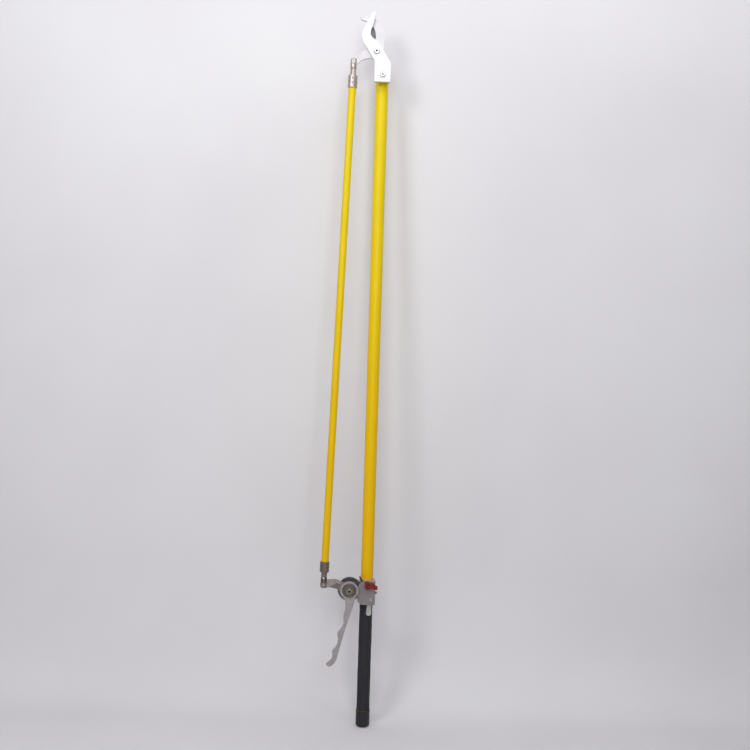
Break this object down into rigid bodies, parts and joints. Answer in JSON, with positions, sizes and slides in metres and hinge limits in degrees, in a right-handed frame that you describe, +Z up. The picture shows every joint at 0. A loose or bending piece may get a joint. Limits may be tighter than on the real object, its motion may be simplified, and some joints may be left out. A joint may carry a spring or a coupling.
{
  "type": "ratchet cable cutter on a hot stick",
  "caption": "Insulated hot stick with a bypass cable-cutting head, worked by a parallel rod from a ratchet crank and squeeze lever beside the grip.",
  "frame": {"origin": "centre of the butt cap's foot, on the main pole's axis", "axes": "+Z up the pole to the cutting head, -Y to the front where the ratchet and jaws are, -X to the operating rod"},
  "size_m": [0.149, 0.0797, 1.8291],
  "materials": {
    "pole_yellow": "gloss",
    "rod_yellow": "gloss",
    "foam": "matte",
    "grip_black": "matte",
    "cap_black": "satin",
    "head_white": "gloss",
    "jaw_white": "satin",
    "clevis_steel": "brushed",
    "pin_steel": "brushed",
    "fastener_steel": "polished",
    "spring_steel": "polished",
    "bush_bronze": "satin",
    "crank_cast": "satin",
    "lever_cast": "cast",
    "wheel_black": "blackened",
    "disc_steel": "brushed",
    "pawl_steel": "satin",
    "bracket_grey": "satin",
    "cover_grey": "satin",
    "release_red": "gloss",
    "tab_grey": "satin",
    "nub_black": "blackened"
  },
  "bodies": {
    "pole": {"main_pole": "pole_yellow", "pole_core": "foam", "grip_sleeve": "grip_black", "butt_cap": "cap_black", "head_socket": "head_white", "fixed_jaw": "head_white", "jaw_pivot_bolt": "fastener_steel", "jaw_pivot_washer": "fastener_steel", "jaw_pivot_nut": "fastener_steel", "head_washer": "fastener_steel", "head_nut": "fastener_steel", "head_bolt": "fastener_steel", "bracket": "bracket_grey", "bracket_clamp": "bracket_grey", "clamp_screws": "fastener_steel", "lock_screw": "nub_black", "bracket_cover": "cover_grey", "hub_spindle": "pin_steel", "hub_washer": "disc_steel", "hub_bolt": "fastener_steel", "pawl_pin": "pin_steel", "pawl_spring": "spring_steel", "tab_screw": "fastener_steel", "tab_spring": "spring_steel"},
    "jaw": {"moving_jaw": "jaw_white", "jaw_bush": "bush_bronze"},
    "rod": {"operating_rod": "rod_yellow", "rod_core": "foam", "top_clevis": "clevis_steel", "bottom_clevis": "clevis_steel", "ferrule_screws": "pin_steel", "top_clevis_pin": "pin_steel", "bottom_clevis_pin": "pin_steel", "pin_clips": "spring_steel"},
    "crank": {"crank_arm": "crank_cast", "ratchet_wheel": "wheel_black", "wheel_dowels": "pin_steel", "drive_disc": "disc_steel"},
    "lever": {"squeeze_lever": "lever_cast", "plunger_spring": "spring_steel"},
    "plunger": {"drive_plunger": "pin_steel"},
    "pawl": {"holding_pawl": "pawl_steel"},
    "release": {"release_lever": "release_red", "release_cam": "pin_steel", "release_screw": "pin_steel"},
    "tab": {"thumb_tab": "tab_grey"}
  },
  "joints": [
    {"name": "crank_turn", "type": "hinge", "parent": "pole", "child": "crank", "pos_m": [-0.0437, 0, 0.3565], "axis": [0, 1, 0], "range_deg": [0, 40]},
    {"name": "rod_swing", "type": "hinge", "parent": "crank", "child": "rod", "pos_m": [-0.11017, 0, 0.36822], "axis": [0, 1, 0], "range_deg": [-41.5, 0.1]},
    {"name": "jaw_turn", "type": "hinge", "parent": "pole", "child": "jaw", "pos_m": [-0.0164, 0, 1.729], "axis": [0, 1, 0], "range_deg": [-0.1, 39]},
    {"name": "lever_squeeze", "type": "hinge", "parent": "pole", "child": "lever", "pos_m": [-0.0437, 0, 0.3565], "axis": [0, 1, 0], "range_deg": [-12, 40]},
    {"name": "plunger_slide", "type": "slide", "parent": "lever", "child": "plunger", "axis": [0, 0, 1], "range_m": [0, 0.0033], "deforming": ["plunger_spring"]},
    {"name": "release_turn", "type": "hinge", "parent": "pole", "child": "release", "pos_m": [0.0022, 0, 0.366], "axis": [0, 1, 0], "range_deg": [0, 20]},
    {"name": "pawl_turn", "type": "hinge", "parent": "pole", "child": "pawl", "pos_m": [-0.0035, 0, 0.349], "axis": [0, 1, 0], "range_deg": [-6.6, 0.1]},
    {"name": "tab_swing", "type": "hinge", "parent": "pole", "child": "tab", "pos_m": [0.0115, 0, 0.332], "axis": [0, 1, 0], "range_deg": [-8, 14], "stiffness_Nm_per_rad": 0.05}
  ],
  "couplings": [
    {"joint": "rod_swing", "follows": "crank_turn", "ratio": -1.029},
    {"joint": "jaw_turn", "follows": "crank_turn", "ratio": 0.9675},
    {"joint": "pawl_turn", "follows": "release_turn", "ratio": -0.325}
  ]
}
